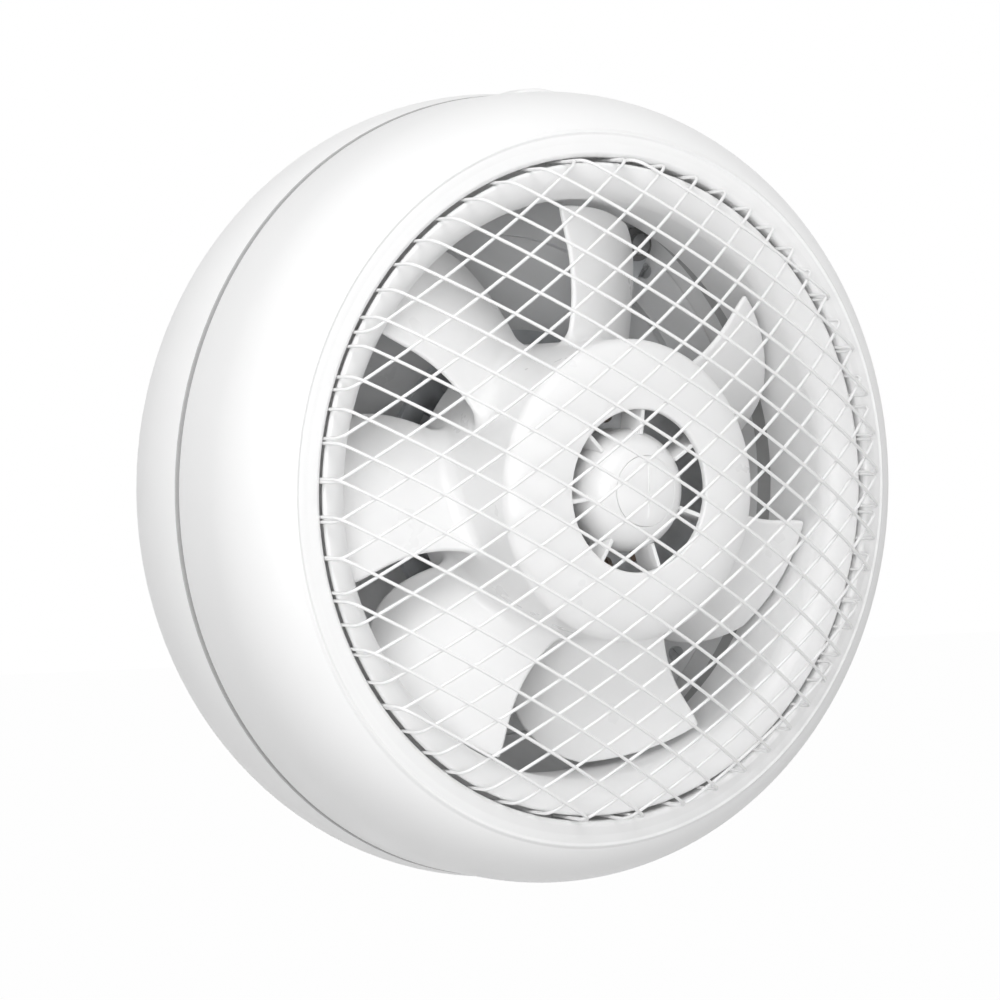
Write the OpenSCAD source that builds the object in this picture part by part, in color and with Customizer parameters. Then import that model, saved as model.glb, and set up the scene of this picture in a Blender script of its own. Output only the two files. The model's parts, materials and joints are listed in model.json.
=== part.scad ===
// Round wall exhaust fan. A fat bezel with a domed wire guard closes the front, and a
// rear casing with a short spigot sits on the wall. A seven blade impeller turns on a
// motor inside its hub, and two sprung flaps close the duct behind it.
// Everything is drawn as on a lathe: the height counts from the wall into the room, and
// the finished part is turned so that the fan's axis lies along Y with the room at -Y.

/* [Impeller] */
// Radius at the blade tips
tip_r = 102.3; // [95:0.1:112]
// Number of blades
blades = 7; // [5:1:9]
// Direction of the first blade, counterclockwise from the right as seen from the room
first_blade = 181; // [0:1:359]
// Thickness of a blade
blade_t = 2.2; // [1.6:0.1:3]
// Angle of a blade's chord out of the plane in which it turns
blade_pitch = 30; // [24:1:34]
// Angle by which the blades lean towards the wall
blade_rake = 10; // [4:1:13]
// Radius of the blades' camber
camber_r = 95; // [85:1:150]
// Distance from the hub's front to the middle of the blades, at the axis
blade_back = 35.2; // [33:0.1:38]
// Outer radius of the hub
hub_r = 54; // [52:0.1:58]
// Wall of the hub
hub_t = 2.2; // [1.6:0.1:3]
// Length of the hub from its front to its rear rim
hub_len = 67.5; // [62:0.5:69]
// Narrowing of the hub towards its rear rim
hub_taper = 1.4; // [0:0.1:2]
// Length of the hub's rounded shoulder
shoulder_len = 8; // [6:0.1:12]
// Radius of the hole in the hub's front
hub_hole_r = 29; // [27:0.1:32]
// Radius of the nose
nose_r = 22; // [20:0.1:24]
// Distance by which the nose stands before the hub's front
nose_rise = 5; // [2:0.1:8]
// Length of the nose's dome
nose_dome = 18; // [15:0.1:20]
// Thickness of a spoke between the nose and the hub
spoke_t = 1.6; // [1.2:0.1:3]
// Radius of the boss on the shaft
boss_r = 8; // [7:0.1:10]
// Radius of the cap in the nose
cap_r = 12.5; // [11:0.1:14]

/* [Motor] */
// Radius of the shaft
shaft_r = 4; // [3:0.1:5]
// Length of the motor between its end plates' outer faces
motor_len = 55; // [50:0.5:57]
// Room between the motor and the inside of the hub
motor_room = 8.8; // [5:0.1:12]
// Thickness of the end plates and of the bracket
plate_t = 2.5; // [2:0.1:3.5]
// Length of the stator's laminations
stator_len = 29; // [24:0.5:31]
// Radius of the rotor
rotor_r = 22; // [18:0.1:23]
// Gap between the rotor and the stator
air_gap = 0.4; // [0.3:0.05:0.6]
// Outer radius of a bearing
bearing_r = 11; // [9:0.1:12]
// Width of a bearing
bearing_w = 7; // [5:0.1:8]
// Radius of the motor's long bolts
bolt_r = 1.95; // [1.5:0.05:2.2]

/* [Duct and cover] */
// Gap between the blade tips and the throat
tip_gap = 2.3; // [1.5:0.1:4]
// Width of the bell-mouth
flare_w = 12.7; // [10:0.1:14]
// Depth of the bell-mouth
flare_h = 10.6; // [9:0.1:11.5]
// Width of the bezel from the opening to the widest part of the body
bezel_w = 26.3; // [24:0.1:34]
// Height of the bezel's lip above the wall
lip_h = 100; // [98:0.5:106]
// Depth of the bezel's round front
bezel_h = 32; // [26:0.5:38]
// Flat width of the bezel's lip
lip_flat = 4.9; // [4.5:0.1:7]
// Wall of the cover and the casing
wall_t = 2.4; // [2:0.1:3]
// Radius of the fine ring on the bezel
bead_r = 0.8; // [0.4:0.1:1.2]
// Distance of the fine ring from the bezel's flat lip
bead_inset = 4.2; // [3:0.1:5]
// Radius that rounds the raised pad on top of the cover
pad_r = 30; // [20:1:40]
// Rise of the pad above the cover
pad_rise = 2; // [1:0.1:3]
// Length of the pad along the axis
pad_len = 11; // [8:0.5:14]
// Height of the seam above the wall
seam_h = 44.2; // [42:0.1:46]
// Width of the seam
seam_gap = 1.6; // [0.6:0.1:2]
// Height of the casing's widest circle above the wall
widest_h = 32; // [28:0.5:34]
// Radius of the casing's curve
casing_curve = 61.7; // [58:0.1:80]
// Length of the throat
throat_len = 28.4; // [26:0.1:30]
// Step from the throat out to the duct behind it
duct_step = 7.4; // [6.5:0.1:9]
// Length of the spigot behind the wall's face
spigot_len = 18; // [10:0.5:22]
// Step from the spigot out to the duct's outer wall
spigot_step = 1; // [0.8:0.1:1.4]
// Thickness of the foam gasket
gasket_t = 2; // [1.5:0.1:3]

/* [Guard] */
// Diameter of the guard's wires
wire_d = 1.2; // [1:0.1:1.8]
// Distance between neighbouring wires
wire_pitch = 11.36; // [10:0.01:14]
// Half of the angle at which the two families of wires cross
wire_angle = 32; // [28:0.1:40]
// Turn of the whole guard
guard_turn = 3.24; // [0:0.01:10]
// Share of a pitch by which the front wires miss the axis
front_shift = 0.4; // [0:0.01:0.95]
// Share of a pitch by which the back wires miss the axis
back_shift = 0.3; // [0:0.01:0.95]
// Radius of the guard's dome
dome_r = 231.3; // [225:0.1:260]
// Rise of the guard before the bezel's lip
guard_rise = 42; // [40:0.1:48]
// Radius of the bend at the guard's rim
bend_r = 6; // [4:0.1:8]
// Diameter of the ring wire at the guard's rim
rim_wire_d = 2.5; // [2:0.1:2.8]

/* [Shutter] */
// Height of the flaps' seat above the wall
seat_h = 27; // [26:0.1:30]
// Thickness of the seat
seat_t = 4; // [3:0.1:5]
// Thickness of a flap
flap_t = 1.6; // [1.2:0.1:2]
// Distance from the duct's wall to the flap's edge
flap_inset = 14.5; // [13.5:0.1:18]
// Radius of the hinge rod
rod_r = 1.5; // [1.2:0.1:1.8]
// Radius of the flaps' barrels on the rod
barrel_r = 3.2; // [2.8:0.1:3.4]
// Length of a barrel
barrel_len = 25; // [16:0.5:26]
// Turns of a closing spring
spring_turns = 6; // [4:1:8]
// Diameter of the spring wire
spring_wire = 0.8; // [0.6:0.05:0.9]

/* [Fixings] */
// Radius of the wall screws' holes
wall_hole_r = 2.25; // [2:0.05:3]
// Radius of the small screws
screw_r = 1.45; // [1.2:0.05:1.6]
// Radius of the bracket's screws
bracket_screw_r = 1.95; // [1.5:0.05:2.2]
// Radius of the hole for the supply cable
cable_hole_r = 4; // [3:0.1:5]
// Height of the gap between the flaps' seat and the motor bracket
bracket_gap = 11; // [10:0.1:13]
// Radius of the posts that carry the bell-mouth
post_r = 4.5; // [4:0.1:5]
// Radius of the eyes at the ends of the motor bracket's arms
eye_r = 7.2; // [6.8:0.1:8]
// Radius of the rubber bushes
bush_r = 6.4; // [5.5:0.1:6.6]
// Length by which the bracket's screws bite into their lugs
bracket_bite = 9.5; // [7:0.5:10]
// Length by which the bell-mouth's screws bite into their posts
post_bite = 12; // [8:0.5:16]
// Length by which the shutter's screws bite into their lugs
lug_bite = 7; // [4:0.5:7.5]
// Length of the cover's screw
cover_screw_len = 9; // [7:0.5:10]
// Radius of the motor's capacitor
capacitor_r = 9; // [7:0.1:9.4]
// Length of the motor's capacitor
capacitor_len = 28; // [22:0.5:32]
// Width of the terminal block
terminal_w = 12; // [10:0.5:13]
// Length of the terminal block
terminal_len = 22; // [18:0.5:26]
// Height of the terminal block
terminal_h = 11; // [9:0.5:13]

/* [Hidden] */
$fn = 96;
// Small clearances: a shaft that turns, a pin that is held, a loose ring and close pieces
run_fit = 0.04;
held_fit = 0.02;
loose_fit = 0.1;
near = 0.3;
cut = 1;
arc_steps = 24;
wire_sides = 16;
bead_sides = 24;

// Round the opening: the bell-mouth's crown, the guard's ledge and the cover's lip.
// The wires run back through the slit between the crown and the lip.
crown_drop = 1;
ledge_drop = 1.9;
lip_rise = 1;
lip_round = 2;
pad_inset = 1.5;
// The cover slides over a rim on the casing, and one screw from below holds it
cover_inset = 1.2;
rim_back = 5;
rim_front = 9;
rim_step = 0.6;
cover_screw_rise = 5;
head_sink = 1.5;
cover_boss_len = 14;
// Ribs, bosses and lips of the mouldings, and how far one shape runs into the next
rib_t = 2;
rib_h = 17;
lip_t = 1.5;
weld = 1;
tip_room = 1;
flange_rim = 2.5;
gasket_gap = 0.6;
gasket_inset = 1.5;

throat_r = tip_r + tip_gap;
bell_r = throat_r + flare_w;
lip_r = bell_r + wire_d + 2 * near;
body_r = lip_r + bezel_w;
duct_r = throat_r + duct_step;
spigot_r = duct_r + wall_t;
shell_r = spigot_r + spigot_step;
throat_h = lip_h - crown_drop - flare_h;
venturi_h = throat_h - throat_len;
cover_r = body_r - cover_inset;
cover_h = seam_h + seam_gap / 2;
casing_h = seam_h - seam_gap / 2;
floor_h = gasket_t + wall_t;
rim_r = cover_r - wall_t - near;
ledge_h = throat_h - ledge_drop;
leg_r = bell_r + near + wire_d / 2;
rim_wire_r = leg_r + wire_d / 2 + rim_wire_d / 2 + held_fit;
rim_wire_h = ledge_h + rim_wire_d / 2 + held_fit;
bend_swell = 0.03;
bend_lap = 0.3;
guard_margin = 5;

// The motor: bosses for its bolts, its bracket and what turns before it
boss_wall = 1.2;
bolt_boss_r = 4;
bolt_head_t = 2.4;
bolt_nut_t = 2.6;
bolt_tip = 0.8;
vent_r = 3;
cup_rise = 2;
rotor_end = 3;
bracket_rim = 4;
arm_rib_h = 3;
slot_len = 9;
slot_w = 6.4;
bush_lip = 1.5;
bush_foot = 2;
bush_wall = 1.95;
turn_gap = 4;
boss_len = 13.5;
nose_inset = 4;
nut_h = 4;
nut_r = 5.7;
washer_t = 1;
stud_step = 1;

bracket_h = seat_h + seat_t + bracket_gap;
bracket_t = plate_t * 1.2;
motor_h = bracket_h + bracket_t;
motor_top = motor_h + motor_len;
motor_r = hub_r - hub_t - motor_room;
motor_bolt_pcr = motor_r - bolt_boss_r - boss_wall;
stator_h = motor_h + (motor_len - stator_len) / 2;
stator_top = stator_h + stator_len;
boss_h = motor_top + turn_gap;
pocket_h = boss_h + boss_len;
hub_front = pocket_h + nose_inset;
hub_back = hub_front - hub_len;
nose_top = hub_front + nose_rise;
stud_r = shaft_r - stud_step;
neck_r = bracket_screw_r + loose_fit + bush_wall;

// A blade's edges, given by their place, slope and bend at one distance from the axis
edge_r = 75;
lead_at = 21.6;
lead_slope = 0.247;
lead_bend = 0.00925;
trail_at = -28.5;
trail_slope = 0.088;
trail_bend = 0.015;
camber_half = 28;
blade_sink = 6;
blade_steps = 30;
round_from = tip_r - 22;
round_end = tip_r + 2;
// The hub's front, its nose and the cap in it
hole_rim = 5;
edge_cut = 0.6;
nose_power = 2.6;
pocket_floor = 3;
spoke_turn = 33;
spoke_set_back = 3;
spoke_weld = 4;
cap_wall = 1.6;
cap_top = 2.6;
cap_slot_w = 1.2;
cap_slot_h = 0.9;

// The shutter: hinge, seat and ribs
rod_drop = 2.6;
hinge_room = 0.8;
barrel_inset = 5;
barrel_margin = 2.5;
spring_len = 10;
post_w = 3;
seat_lap = 4;
block_w = 8;
block_gap = 1;
flap_rib_at = 36;
flap_rib_t = 1.6;
flap_rib_h = 3;
flap_rib_share = 0.72;

flap_r = duct_r - flap_inset;
flap_h = seat_h - near - flap_t;
rod_h = flap_h - rod_drop;
hinge_gap = barrel_r + hinge_room;
post_x = barrel_len * 2 - barrel_inset + spring_len;
spring_r = rod_r + run_fit + near + spring_wire / 2;

// Places of the fixings. Angles count from the right, counterclockwise from the room.
foot_r = body_r - casing_curve + sqrt(pow(casing_curve, 2) - pow(widest_h, 2));
wall_hole_pcr = (spigot_r + foot_r) / 2;
wall_boss_r = wall_hole_r * 2.6;
post_pcr = shell_r + post_r - weld;
arm_screw_pcr = duct_r - near - eye_r;
lug_r = 4;
lug_h = 9;
lug_room = 3.8;
lug_pcr = duct_r - lug_r - lug_room;
wall_turns = [0 : 90 : 270];
post_turns = [45 : 90 : 315];
arm_turns = [60, 180, 300];
lug_turns = [-39, 51, 141, 231];
rib_turns = [22.5 : 45 : 360];
slot_turns = [10 : 20 : 350];
vent_turns = [0 : 30 : 330];
cable_turn = -33;
terminal_turn = -12;
capacitor_turn = -101;
// Grommet, terminal cover and the capacitor's cup, collar and tabs
grommet_wall = 2;
grommet_lip = 1.8;
grommet_top = 4;
box_wall = 1.5;
box_gap = 0.5;
box_room = 2.5;
cup_wall = 1.9;
cup_h = 8;
collar_h = 2;
tab_at = 3;
tab_w = 3;
tab_t = 0.8;
tab_h = 7;

// Turns what is drawn on the lathe so that its height points into the room
module in_room() {
    rotate([90, 0, 0]) children();
}

// Puts children at a distance from the axis, in each of the given directions
module around(r, turns) {
    for (a = turns) rotate([0, 0, a]) translate([r, 0, 0]) children();
}

module ring(outer, inner, from, to) {
    rotate_extrude() translate([inner, from]) square([outer - inner, to - from]);
}

module rod(r, from, to) {
    translate([0, 0, from]) cylinder(r = r, h = to - from);
}

// Points on a quarter or other stretch of an ellipse, or of a squarer one for n above 2
function bow(v) = v < 0 ? -1 : 1;
function arc(cr, ch, r, h, from, to, n = 2) = [
    for (i = [0 : arc_steps])
        let (a = from + (to - from) * i / arc_steps)
        [cr + r * bow(cos(a)) * pow(abs(cos(a)), 2 / n),
         ch + h * bow(sin(a)) * pow(abs(sin(a)), 2 / n)]
];

// A screw that points down, with its head on the given height
module screw(r, head_h, len) {
    rod(r, head_h - len, head_h);
    difference() {
        rod(r * 2, head_h, head_h + r * 1.2);
        translate([-r * 2, -r / 4, head_h + r * 0.7]) cube([r * 4, r / 2, r]);
    }
}

module front_cover() {
    bow_r = lip_r + lip_flat;
    bow_h = lip_h - lip_rise - bezel_h;
    w = cover_r - bow_r;
    foot_h = rim_wire_h + rim_wire_d / 2 + near;
    bead_h = bow_h + bezel_h * sqrt(1 - pow(bead_inset / w, 2));
    color("white") in_room() difference() {
        union() {
            rotate_extrude() polygon(concat(
                [[cover_r - wall_t, cover_h], [cover_r, cover_h]],
                arc(bow_r, bow_h, w, bezel_h, 0, 90),
                arc(lip_r + lip_round, lip_h - lip_round, lip_round, lip_round, 90, 180),
                [[lip_r, foot_h], [lip_r + wall_t, foot_h]],
                [[lip_r + wall_t, lip_h - 2 * wall_t]],
                arc(bow_r, bow_h, w - wall_t, bezel_h - wall_t, 90, 0)
            ));
            rotate_extrude() translate([bow_r + bead_inset, bead_h]) circle(r = bead_r, $fn = bead_sides);
            difference() {
                translate([0, cover_r + pad_rise - pad_r, cover_h + pad_inset])
                    cylinder(r = pad_r, h = pad_len);
                rod(cover_r - wall_t, 0, lip_h);
            }
        }
        cover_screw_place() {
            rod(screw_r + near, -bezel_w, bezel_w);
            rod(screw_r * 2 + near, -head_sink, bezel_w);
        }
    }
}

// The cover's one screw sits under the body. Its height 0 is the cover's outside.
module cover_screw_place() {
    translate([0, -cover_r, seam_h + cover_screw_rise]) rotate([90, 0, 0]) children();
}

module rear_casing() {
    curve_r = body_r - casing_curve;
    low = asin(-widest_h / casing_curve);
    high = asin((casing_h - widest_h) / casing_curve);
    inside = casing_curve - wall_t;
    in_low = asin((floor_h - cut / 2 - widest_h) / inside);
    in_high = asin((casing_h - widest_h) / inside);
    web_r = curve_r + sqrt(pow(inside, 2) - pow(widest_h - floor_h, 2)) + wall_t / 2;
    color("white") in_room() difference() {
        union() {
            rotate_extrude() polygon(concat(
                arc(curve_r, widest_h, casing_curve, casing_curve, low, high),
                arc(curve_r, widest_h, inside, inside, in_high, in_low),
                [[curve_r + inside * cos(in_low), 0]]
            ));
            ring(web_r, spigot_r - wall_t / 2, gasket_t, floor_h);
            ring(spigot_r, duct_r, -spigot_len, weld);
            ring(shell_r, duct_r, 0, venturi_h - near);
            ring(rim_r, rim_r - wall_t, seam_h - rim_back, seam_h + rim_front);
            ring(cover_r - rim_step, rim_r - wall_t, seam_h - rim_back, casing_h);
            around(shell_r - weld, rib_turns) translate([0, -rib_t / 2, floor_h - weld])
                cube([web_r - shell_r + weld, rib_t, rib_h + weld]);
            around(post_pcr, post_turns) rod(post_r, gasket_t, venturi_h);
            around(wall_hole_pcr, wall_turns) rod(wall_boss_r, 0, floor_h + lip_t);
            arm_lugs();
            frame_lugs();
            cover_screw_place() rod(post_r, -cover_boss_len, -wall_t - near - weld / 2);
            rotate([0, 0, capacitor_turn]) translate([wall_hole_pcr, 0, 0])
                ring(capacitor_r + near + cup_wall, capacitor_r + near, floor_h - weld, floor_h + cup_h);
        }
        around(wall_hole_pcr, wall_turns) rod(wall_hole_r, -cut, floor_h + lip_t + cut);
        around(post_pcr, post_turns)
            rod(screw_r + held_fit, venturi_h - post_bite - tip_room, venturi_h + cut);
        around(arm_screw_pcr, arm_turns) rod(bracket_screw_r + held_fit, seat_h + seat_t, bracket_h);
        around(lug_pcr, lug_turns) rod(screw_r + held_fit, seat_h - lug_bite - tip_room, seat_h + cut);
        cover_screw_place()
            rod(screw_r + held_fit, -head_sink - cover_screw_len - tip_room, cut);
        around(wall_hole_pcr, [cable_turn]) rod(cable_hole_r + grommet_wall, -cut, floor_h + cut);
    }
}

// Lugs on the duct's wall that carry the arms of the motor bracket
module arm_lugs() {
    from = seat_h + seat_t + near;
    to = bracket_h - bush_foot;
    intersection() {
        around(arm_screw_pcr, arm_turns) union() {
            rod(eye_r, from, to);
            translate([0, -eye_r, from]) cube([2 * eye_r, 2 * eye_r, to - from]);
        }
        rod(duct_r + wall_t / 2, 0, lip_h);
    }
}

// Lugs on the duct's wall that carry the shutter's frame
module frame_lugs() {
    intersection() {
        around(lug_pcr, lug_turns) union() {
            rod(lug_r, seat_h - lug_h, seat_h);
            translate([0, -lug_r, seat_h - lug_h]) cube([4 * lug_r, 2 * lug_r, lug_h]);
        }
        rod(duct_r + wall_t / 2, 0, lip_h);
    }
}

module venturi_ring() {
    flange_r = post_pcr + post_r + flange_rim;
    inner_w = flare_w - wall_t;
    inner_h = flare_h - wall_t;
    color("white") in_room() difference() {
        union() {
            rotate_extrude() polygon(concat(
                [[throat_r, venturi_h]],
                arc(bell_r, throat_h, flare_w, flare_h, 180, 90),
                arc(bell_r, throat_h, inner_w, inner_h, 90, 180),
                [[bell_r - inner_w, venturi_h]]
            ));
            ring(lip_r + wall_t, throat_r + wall_t / 2, ledge_h - wall_t, ledge_h);
            ring(flange_r, throat_r + wall_t / 2, venturi_h, venturi_h + wall_t);
        }
        around(post_pcr, post_turns) rod(screw_r + near, venturi_h - cut, venturi_h + wall_t + cut);
    }
}

// One wire of the guard, a distance off the axis. It follows a dome, bends at the rim and
// runs back beside the bell-mouth. The dome's middle lies on the axis at height mid_h.
// A bend is a touch thicker than the wire, and takes in the ends of both stretches.
module guard_wire(off, r, mid_h) {
    section = sqrt(r * r - off * off);
    half = sqrt(leg_r * leg_r - off * off);
    bend_x = half - bend_r;
    lift = sqrt(pow(section - bend_r, 2) - bend_x * bend_x);
    tilt = atan2(bend_x, lift);
    reach = tilt + bend_lap / section * 180 / PI;
    translate([0, off, mid_h]) rotate([90, 0, 0]) {
        rotate([0, 0, 90 - reach]) rotate_extrude(angle = 2 * reach)
            translate([section, 0]) circle(d = wire_d, $fn = wire_sides);
        for (side = [0, 1]) mirror([side, 0, 0]) {
            translate([bend_x, lift, 0]) rotate_extrude(angle = 90 - tilt)
                translate([bend_r, 0]) circle(r = wire_d / 2 + bend_swell, $fn = wire_sides);
            translate([half, rim_wire_h - mid_h, 0]) rotate([-90, 0, 0])
                cylinder(d = wire_d, h = lift - rim_wire_h + mid_h + bend_lap, $fn = wire_sides);
        }
    }
}

module guard_family(turn, shift, r) {
    mid_h = lip_h + guard_rise - dome_r;
    count = ceil(leg_r / wire_pitch);
    rotate([0, 0, turn]) for (i = [-count : count]) {
        off = (i + shift) * wire_pitch;
        if (abs(off) < leg_r - guard_margin) guard_wire(off, r, mid_h);
    }
}

module guard_wires_front() {
    color("white") in_room() guard_family(guard_turn - wire_angle, front_shift, dome_r);
}

module guard_wires_back() {
    color("white") in_room()
        guard_family(guard_turn + wire_angle, back_shift, dome_r - wire_d - held_fit);
}

module guard_rim_wire() {
    color("white") in_room() rotate_extrude() translate([rim_wire_r, rim_wire_h])
        circle(d = rim_wire_d, $fn = bead_sides);
}

// Edges of a blade, seen along the axis, at a distance u from it
function bent(u, at, slope, bend) = at + slope * (u - edge_r) + bend * pow(u - edge_r, 2);
function lead(u) = bent(u, lead_at, lead_slope, lead_bend);
function trail(u) = bent(u, trail_at, trail_slope, trail_bend);
function tip_share(u) = max(0, (u - round_from) / (round_end - round_from));
function fade(u) = pow(1 - pow(tip_share(u), 4), 0.25);
function middle(u) = (lead(u) + trail(u)) / 2;
function edge(u, side) = middle(u) + side * (lead(u) - trail(u)) / 2 * fade(u);

module blade() {
    start = hub_r - blade_sink;
    sink = sqrt(pow(camber_r, 2) - pow(camber_half, 2));
    at = [for (i = [0 : blade_steps]) start + (round_end - start) * sin(90 * i / blade_steps)];
    intersection() {
        translate([0, 0, hub_front - blade_back]) rotate([0, blade_rake, 0]) rotate([blade_pitch, 0, 0])
            translate([start / 2, 0, -sink]) rotate([0, 90, 0]) difference() {
                cylinder(r = camber_r + blade_t / 2, h = tip_r);
                translate([0, 0, -cut]) cylinder(r = camber_r - blade_t / 2, h = tip_r + 2 * cut);
            }
        linear_extrude(nose_top) polygon(concat(
            [for (u = at) [u, edge(u, 1)]],
            [for (i = [blade_steps - 1 : -1 : 0]) [at[i], edge(at[i], -1)]]
        ));
        rod(tip_r, 0, hub_front);
    }
}

module impeller() {
    bell_h = hub_front - shoulder_len;
    step_r = hub_hole_r + hole_rim;
    nose_in = nose_r - hub_t;
    spoke_from = boss_h + spoke_set_back;
    color("white") in_room() difference() {
        union() {
            rotate_extrude() polygon(concat(
                [[hub_r - hub_taper, hub_back]],
                arc(step_r, bell_h, hub_r - step_r, shoulder_len, 0, 90),
                [[hub_hole_r + edge_cut, hub_front], [hub_hole_r, hub_front - edge_cut]],
                [[hub_hole_r, hub_front - hub_t], [step_r, hub_front - hub_t]],
                arc(step_r, bell_h, hub_r - hub_t - step_r, shoulder_len - hub_t, 90, 0),
                [[hub_r - hub_t - hub_taper, hub_back]]
            ));
            difference() {
                for (i = [0 : blades - 1]) rotate([0, 0, first_blade + i * 360 / blades]) blade();
                rod(hub_r - hub_t / 2 - hub_taper, 0, hub_front);
            }
            rotate_extrude() polygon(concat(
                [[0, boss_h], [boss_r, boss_h], [boss_r, pocket_h - pocket_floor]],
                [[nose_in, pocket_h - pocket_floor], [nose_in, boss_h], [nose_r, boss_h]],
                arc(0, nose_top - nose_dome, nose_r, nose_dome, 0, 90, nose_power)
            ));
            for (i = [0 : blades - 1]) rotate([0, 0, spoke_turn + i * 360 / blades])
                translate([nose_in, -spoke_t / 2, spoke_from])
                    cube([step_r + spoke_weld - nose_in, spoke_t, hub_front - hub_t - spoke_from]);
        }
        rod(shaft_r + held_fit, boss_h - cut, pocket_h + cut);
        rod(cap_r + loose_fit, pocket_h, nose_top + cut);
    }
}

module impeller_cap() {
    color("white") in_room() difference() {
        intersection() {
            rotate_extrude() polygon(concat(
                [[0, pocket_h + held_fit], [nose_r, pocket_h + held_fit]],
                arc(0, nose_top - nose_dome, nose_r, nose_dome, 0, 90, nose_power)
            ));
            rod(cap_r, 0, nose_top + cut);
        }
        rod(cap_r - cap_wall, pocket_h - cut, nose_top - cap_top);
        translate([-cap_slot_w / 2, -cap_r + cap_wall, nose_top - cap_slot_h])
            cube([cap_slot_w, 2 * (cap_r - cap_wall), cap_slot_h + cut]);
    }
}

module impeller_washer() {
    color("silver") in_room()
        ring(nut_r + washer_t, stud_r + loose_fit, pocket_h + held_fit, pocket_h + washer_t);
}

module impeller_nut() {
    color("silver") in_room() difference() {
        translate([0, 0, pocket_h + washer_t + held_fit]) cylinder(r = nut_r, h = nut_h, $fn = 6);
        rod(stud_r + held_fit, pocket_h, nose_top);
    }
}

module motor_shaft() {
    color("silver") in_room() {
        rod(shaft_r, motor_h - weld, pocket_h - held_fit);
        rod(stud_r, pocket_h - weld, pocket_h + washer_t + nut_h + bolt_tip);
    }
}

module rotor() {
    color("gray") in_room() difference() {
        union() {
            rod(rotor_r, stator_h, stator_top);
            rod(rotor_r - rotor_end, stator_h - rotor_end, stator_top + rotor_end);
        }
        rod(shaft_r + held_fit, 0, lip_h);
    }
}

module stator_core() {
    color("dimgray") in_room() difference() {
        ring(motor_r, rotor_r + air_gap, stator_h, stator_top);
        motor_bolt_holes();
    }
}

module motor_bolt_holes() {
    around(motor_bolt_pcr, arm_turns) rod(bolt_r + near / 2, 0, nose_top);
}

module stator_winding() {
    inner = rotor_r + air_gap + near;
    outer = motor_bolt_pcr - bolt_boss_r - near;
    half = ((motor_len - stator_len) / 2 - plate_t - near - held_fit) / 2;
    far = half + held_fit;
    round = 360 * arc_steps / (arc_steps + 1);
    color("chocolate") in_room() for (h = [stator_h - far, stator_top + far])
        rotate_extrude() polygon(arc((inner + outer) / 2, h, (outer - inner) / 2, half, 0, round, 3));
}

module bearing(from) {
    color("silver") in_room() ring(bearing_r, shaft_r + run_fit, from, from + bearing_w);
}

module front_bearing() {
    bearing(motor_top - bearing_w);
}

module rear_bearing() {
    bearing(motor_h);
}

// One end shield, with its plate's outer face on height 0 and its cup below
module shield() {
    depth = (motor_len - stator_len) / 2;
    difference() {
        union() {
            ring(motor_r, motor_r - plate_t, -depth, 0);
            rod(motor_r - weld, -plate_t, 0);
            around(motor_bolt_pcr, arm_turns) rod(bolt_boss_r, -depth, -plate_t / 2);
            rod(bearing_r + plate_t, -bearing_w - weld, cup_rise);
        }
        rod(bearing_r + held_fit, -bearing_w - weld - cut, 0);
        rod(shaft_r + stud_step, -cut, cup_rise + cut);
        around((bearing_r + motor_r) / 2, vent_turns) rod(vent_r, -plate_t - cut, cut);
    }
}

module motor_front_shield() {
    color("dimgray") in_room() difference() {
        translate([0, 0, motor_top]) shield();
        motor_bolt_holes();
    }
}

module motor_rear_shield() {
    color("dimgray") in_room() difference() {
        translate([0, 0, motor_h]) mirror([0, 0, 1]) shield();
        motor_bolt_holes();
    }
}

module motor_bolts() {
    color("silver") in_room() around(motor_bolt_pcr, arm_turns) {
        rod(bolt_r, bracket_h - weld, motor_top + bolt_nut_t + bolt_tip);
        rod(bolt_r * 1.8, bracket_h - bolt_head_t, bracket_h - held_fit);
        translate([0, 0, motor_top + held_fit]) cylinder(r = bolt_r * 2, h = bolt_nut_t, $fn = 6);
    }
}

module motor_bracket() {
    disc_r = hub_r + bracket_rim;
    arm_from = disc_r - 2 * bracket_rim;
    color("gray") in_room() difference() {
        union() {
            rod(disc_r, bracket_h, bracket_h + bracket_t);
            for (a = arm_turns) rotate([0, 0, a]) {
                translate([arm_from, -eye_r, bracket_h])
                    cube([arm_screw_pcr - arm_from, 2 * eye_r, bracket_t]);
                translate([arm_from, -rib_t / 2, bracket_h - arm_rib_h])
                    cube([arm_screw_pcr - 2 * eye_r - arm_from, rib_t, arm_rib_h + weld]);
            }
            around(arm_screw_pcr, arm_turns) rod(eye_r, bracket_h, motor_h);
        }
        around(arm_screw_pcr, arm_turns) rod(neck_r + held_fit, bracket_h - cut, motor_h + cut);
        rod(bearing_r + plate_t + near, bracket_h - cut, motor_h + cut);
        motor_bolt_holes();
        around(hub_r - bracket_rim - slot_len, slot_turns)
            translate([0, -slot_w / 2, bracket_h - cut]) cube([slot_len, slot_w, bracket_t + 2 * cut]);
    }
}

module rubber_bushes() {
    color("black") in_room() around(arm_screw_pcr, arm_turns) rotate_extrude() polygon([
        [neck_r - bush_wall, bracket_h - bush_foot], [bush_r, bracket_h - bush_foot],
        [bush_r, bracket_h - held_fit], [neck_r, bracket_h - held_fit],
        [neck_r, motor_h + held_fit], [bush_r, motor_h + held_fit],
        [bush_r, motor_h + bush_lip], [neck_r - bush_wall, motor_h + bush_lip]
    ]);
}

module bracket_screws() {
    color("silver") in_room() around(arm_screw_pcr, arm_turns)
        screw(bracket_screw_r, motor_h + bush_lip + held_fit, bush_lip + bracket_t + bracket_bite);
}

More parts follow.
